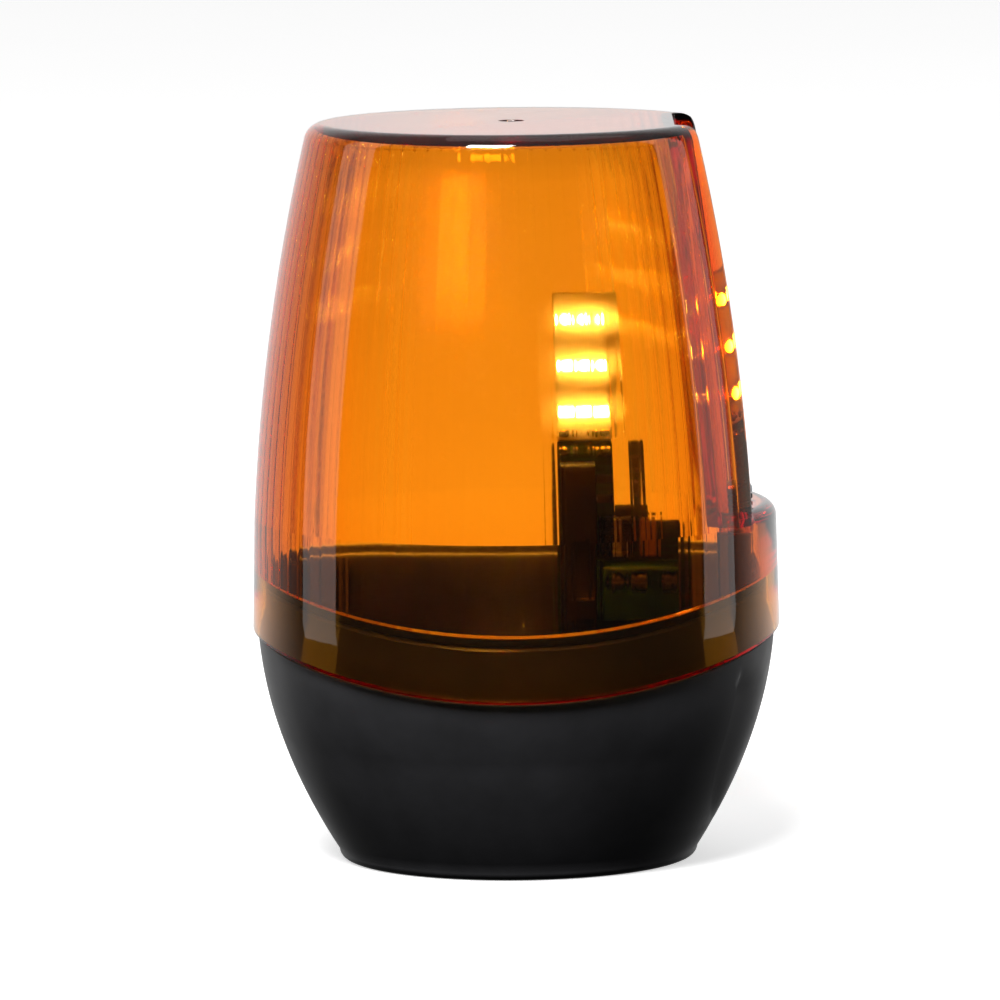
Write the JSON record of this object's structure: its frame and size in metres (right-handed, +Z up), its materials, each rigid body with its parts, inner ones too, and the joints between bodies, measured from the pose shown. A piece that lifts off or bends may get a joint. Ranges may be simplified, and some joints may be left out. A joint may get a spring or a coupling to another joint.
{
  "type": "led warning light",
  "caption": "Amber LED warning light: a tall fluted lens with a flat top and a side screw pocket, over a black bowl-shaped base with a bow-shaped seam.",
  "frame": {"origin": "centre of the base's underside", "axes": "+Z up through the middle of the lens, +X towards the screw pocket in the lens"},
  "size_m": [0.105, 0.105, 0.147],
  "materials": {
    "black_abs": "satin",
    "amber_lens": "clear gloss",
    "black_rubber": "matt",
    "zinc_steel": "bright",
    "black_nylon": "satin",
    "green_board": "satin",
    "white_board": "satin",
    "green_terminal": "satin",
    "capacitor_sleeve": "gloss",
    "film_case": "satin",
    "ferrite": "matt",
    "led_package": "gloss"
  },
  "bodies": {
    "base": {"base_shell": "black_abs", "board_header": "black_nylon", "board_screw_lower": "zinc_steel", "board_screw_upper": "zinc_steel", "bridge_rectifier": "black_nylon", "cable_grommet": "black_rubber", "circuit_board": "green_board", "control_chip": "black_nylon", "film_capacitor": "film_case", "led_back_1a": "led_package", "led_back_1b": "led_package", "led_back_1c": "led_package", "led_back_2a": "led_package", "led_back_2b": "led_package", "led_back_2c": "led_package", "led_back_3a": "led_package", "led_back_3b": "led_package", "led_back_3c": "led_package", "led_board": "white_board", "led_front_1a": "led_package", "led_front_1b": "led_package", "led_front_1c": "led_package", "led_front_2a": "led_package", "led_front_2b": "led_package", "led_front_2c": "led_package", "led_front_3a": "led_package", "led_front_3b": "led_package", "led_front_3c": "led_package", "lens_seal": "black_rubber", "post_screw_left": "zinc_steel", "post_screw_right": "zinc_steel", "power_inductor": "ferrite", "smoothing_capacitor": "capacitor_sleeve", "support_post": "black_nylon", "terminal_block": "green_terminal"},
    "lens": {"lens": "amber_lens"},
    "lens_screw": {"lens_screw": "zinc_steel", "lens_screw_washer": "black_rubber"},
    "terminal_screw_1": {"terminal_screw_1": "zinc_steel"},
    "terminal_screw_2": {"terminal_screw_2": "zinc_steel"},
    "terminal_screw_3": {"terminal_screw_3": "zinc_steel"}
  },
  "joints": [
    {"name": "lens_lift_off", "type": "slide", "parent": "base", "child": "lens", "axis": [0, 0, 1], "range_m": [0, 0.1]},
    {"name": "lens_screw_turn", "type": "hinge", "parent": "lens", "child": "lens_screw", "pos_m": [0.044, 0, 0.0724], "axis": [0, 0, -1], "continuous": true},
    {"name": "terminal_screw_1_turn", "type": "hinge", "parent": "base", "child": "terminal_screw_1", "pos_m": [0.0197, -0.0086, 0.0556], "axis": [0, 1, 0], "continuous": true},
    {"name": "terminal_screw_2_turn", "type": "hinge", "parent": "base", "child": "terminal_screw_2", "pos_m": [0.02478, -0.0086, 0.0556], "axis": [0, 1, 0], "continuous": true},
    {"name": "terminal_screw_3_turn", "type": "hinge", "parent": "base", "child": "terminal_screw_3", "pos_m": [0.02986, -0.0086, 0.0556], "axis": [0, 1, 0], "continuous": true}
  ]
}
